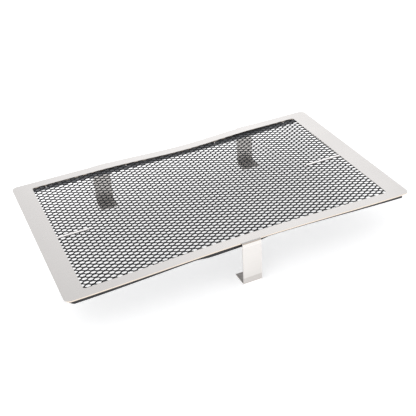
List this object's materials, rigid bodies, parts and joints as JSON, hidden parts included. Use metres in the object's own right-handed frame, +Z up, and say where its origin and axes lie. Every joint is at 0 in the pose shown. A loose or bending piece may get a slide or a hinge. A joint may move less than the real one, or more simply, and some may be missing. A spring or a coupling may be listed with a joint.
{
  "type": "motorcycle radiator guard",
  "caption": "Motorcycle radiator guard: a flat bare-steel frame with folded hooks, over a black diamond-mesh grid panel with folded borders.",
  "frame": {"origin": "on the surface that it stands on, under the middle of the frame", "axes": "+X along the frame's length, +Y from the side with one hook towards the side with two, +Z up out of the frame's outer face"},
  "size_m": [0.36, 0.2151, 0.049],
  "materials": {
    "stainless_sheet": "satin, as rolled",
    "black_coating": "semi-gloss"
  },
  "bodies": {
    "root": {"frame": "stainless_sheet", "grid_panel": "black_coating"}
  },
  "joints": []
}
